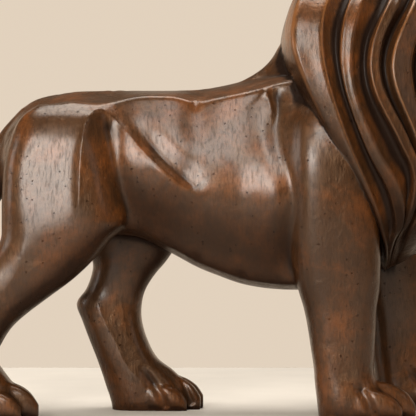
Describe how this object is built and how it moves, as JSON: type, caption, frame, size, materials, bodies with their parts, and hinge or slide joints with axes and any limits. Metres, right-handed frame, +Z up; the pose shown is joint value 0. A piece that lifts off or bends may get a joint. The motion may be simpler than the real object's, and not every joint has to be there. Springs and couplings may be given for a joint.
{
  "type": "lion statue",
  "caption": "Striding lion sculpture in patinated bronze, tail down, mane carved in nested locks, standing on the flats of its paws.",
  "frame": {"origin": "on the ground under the middle of the casting's length and width", "axes": "+X the way the lion faces, +Y its left side, +Z up"},
  "size_m": [0.6198, 0.1752, 0.42],
  "materials": {
    "bronze": "cast bronze with a dark brown patina, rubbed lighter on the edges, satin"
  },
  "bodies": {
    "root": {"lion": "bronze"}
  },
  "joints": []
}
